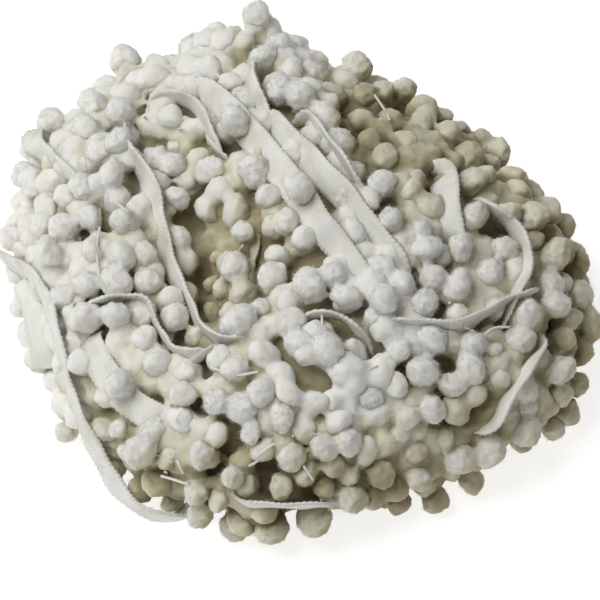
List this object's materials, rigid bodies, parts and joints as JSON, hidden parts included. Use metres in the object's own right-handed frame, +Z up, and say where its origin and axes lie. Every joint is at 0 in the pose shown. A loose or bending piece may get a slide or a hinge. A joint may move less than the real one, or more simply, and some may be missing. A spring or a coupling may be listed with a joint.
{
  "type": "pompom fringe trim",
  "caption": "Long pompom fringe trim of white cotton in a loose, tangled heap, with balls on stems along a narrow knitted tape that loops and twists.",
  "frame": {"origin": "middle of the flat underside of the heap, on the surface it lies on", "axes": "+Z up from that surface, +X to the right along the heap's longest side, +Y to the back"},
  "size_m": [0.202, 0.1911, 0.0698],
  "materials": {
    "pompom_pile": "fluffy brushed cotton pile, off-white",
    "knitted_tape": "fine ribbed knit with beaded edges, off-white",
    "wound_turns": "shaded inner turns of the same trim, creamy"
  },
  "bodies": {
    "root": {"wound_core": "wound_turns", "run_west_rim": "pompom_pile", "run_north_tuft": "pompom_pile", "run_north_east_rim": "pompom_pile", "run_east_rim": "pompom_pile", "run_south_east_rim": "pompom_pile", "run_south_east_foot": "pompom_pile", "run_south_front": "pompom_pile", "run_south_west_low": "pompom_pile", "run_south_west": "pompom_pile", "run_west_edge": "pompom_pile", "run_west_outer": "pompom_pile", "run_west_inner": "pompom_pile", "run_west_crest": "pompom_pile", "run_hollow_north": "pompom_pile", "run_hollow_east": "pompom_pile", "run_hollow_west": "pompom_pile", "run_south_west_mass": "pompom_pile", "run_north_crest": "pompom_pile", "run_crown_rim": "pompom_pile", "run_north_east_shade": "pompom_pile", "run_east_crest": "pompom_pile", "run_east_mass": "pompom_pile", "run_east_hollow": "pompom_pile", "run_east_outer": "pompom_pile", "run_east_flank": "pompom_pile", "run_east_foot": "pompom_pile", "run_south_east_mass": "pompom_pile", "run_south_east_inner": "pompom_pile", "run_hollow_floor": "pompom_pile", "run_hollow_rim": "pompom_pile", "run_middle": "pompom_pile", "run_middle_link": "pompom_pile", "run_middle_west": "pompom_pile", "run_middle_east": "pompom_pile", "run_middle_south": "pompom_pile", "run_south_roll_west": "pompom_pile", "run_south_roll": "pompom_pile", "run_south_roll_east": "pompom_pile", "run_south_east_slope": "pompom_pile", "run_south_middle": "pompom_pile", "run_south_east_low": "pompom_pile", "run_rear_foot": "pompom_pile", "run_rear_low": "pompom_pile", "run_rear_high": "pompom_pile", "run_rear_slope": "pompom_pile", "tape_left_edge": "knitted_tape", "tape_left_fold": "knitted_tape", "tape_south_west": "knitted_tape", "tape_hollow": "knitted_tape", "tape_north_west": "knitted_tape", "tape_hollow_rim": "knitted_tape", "tape_crown_west": "knitted_tape", "tape_crown": "knitted_tape", "tape_crown_east": "knitted_tape", "tape_south_slope": "knitted_tape", "tape_east_slope": "knitted_tape", "tape_east_upright": "knitted_tape", "tape_east_loop": "knitted_tape", "tape_east_level": "knitted_tape"}
  },
  "joints": []
}
